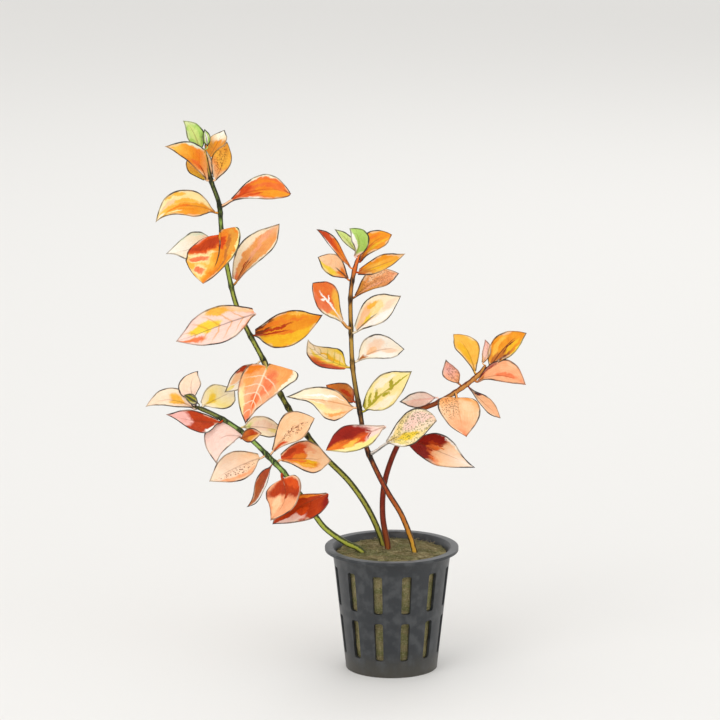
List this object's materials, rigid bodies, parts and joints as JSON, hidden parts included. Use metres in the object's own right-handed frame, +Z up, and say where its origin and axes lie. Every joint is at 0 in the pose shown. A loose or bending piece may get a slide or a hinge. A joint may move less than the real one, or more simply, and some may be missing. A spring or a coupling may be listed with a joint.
{
  "type": "potted ludwigia ovalis",
  "caption": "Aquarium stem plant with oval orange, cream and red leaves on slender leaning stems, planted in a slotted growing pot filled with mineral wool.",
  "frame": {"origin": "middle of the underside of the pot's foot, on the surface that the pot stands on", "axes": "+Z up, +X to the right as seen from the front, +Y away from the front"},
  "size_m": [0.1514, 0.054, 0.2235],
  "materials": {
    "pot_plastic": "satin",
    "mineral_wool": "matte",
    "stem_tall": "satin",
    "leaf_green": "satin",
    "leaf_amber": "satin",
    "leaf_orange": "satin",
    "leaf_yellow": "satin",
    "leaf_cream": "satin",
    "leaf_peach": "satin",
    "leaf_coral": "satin",
    "stem_low": "satin",
    "leaf_blush": "satin",
    "leaf_olive": "satin",
    "leaf_rust": "satin",
    "stem_middle": "satin",
    "leaf_maroon": "satin",
    "stem_right": "satin"
  },
  "bodies": {
    "root": {"pot": "pot_plastic", "wool_plug": "mineral_wool", "stem_tall": "stem_tall", "tall_leaf_01": "leaf_green", "tall_leaf_02": "leaf_green", "tall_leaf_03": "leaf_amber", "tall_leaf_04": "leaf_orange", "tall_leaf_05": "leaf_amber", "tall_leaf_06": "leaf_amber", "tall_leaf_07": "leaf_orange", "tall_leaf_08": "leaf_yellow", "tall_leaf_09": "leaf_cream", "tall_leaf_10": "leaf_orange", "tall_leaf_11": "leaf_peach", "tall_leaf_12": "leaf_peach", "tall_leaf_13": "leaf_amber", "tall_leaf_14": "leaf_coral", "tall_leaf_15": "leaf_peach", "stem_low": "stem_low", "low_leaf_01": "leaf_peach", "low_leaf_02": "leaf_blush", "low_leaf_03": "leaf_olive", "low_leaf_04": "leaf_yellow", "low_leaf_05": "leaf_coral", "low_leaf_06": "leaf_blush", "low_leaf_07": "leaf_cream", "low_leaf_08": "leaf_rust", "low_leaf_09": "leaf_peach", "low_leaf_10": "leaf_orange", "low_leaf_11": "leaf_rust", "low_leaf_12": "leaf_coral", "low_leaf_13": "leaf_rust", "low_leaf_14": "leaf_peach", "stem_middle": "stem_middle", "middle_leaf_01": "leaf_rust", "middle_leaf_02": "leaf_green", "middle_leaf_03": "leaf_green", "middle_leaf_04": "leaf_orange", "middle_leaf_05": "leaf_peach", "middle_leaf_06": "leaf_amber", "middle_leaf_07": "leaf_coral", "middle_leaf_08": "leaf_orange", "middle_leaf_09": "leaf_cream", "middle_leaf_10": "leaf_yellow", "middle_leaf_11": "leaf_cream", "middle_leaf_12": "leaf_cream", "middle_leaf_13": "leaf_rust", "middle_leaf_14": "leaf_yellow", "middle_leaf_15": "leaf_maroon", "middle_leaf_16": "leaf_cream", "stem_right": "stem_right", "right_leaf_01": "leaf_amber", "right_leaf_02": "leaf_blush", "right_leaf_03": "leaf_orange", "right_leaf_04": "leaf_coral", "right_leaf_05": "leaf_coral", "right_leaf_06": "leaf_blush", "right_leaf_07": "leaf_peach", "right_leaf_08": "leaf_peach", "right_leaf_09": "leaf_maroon"}
  },
  "joints": []
}
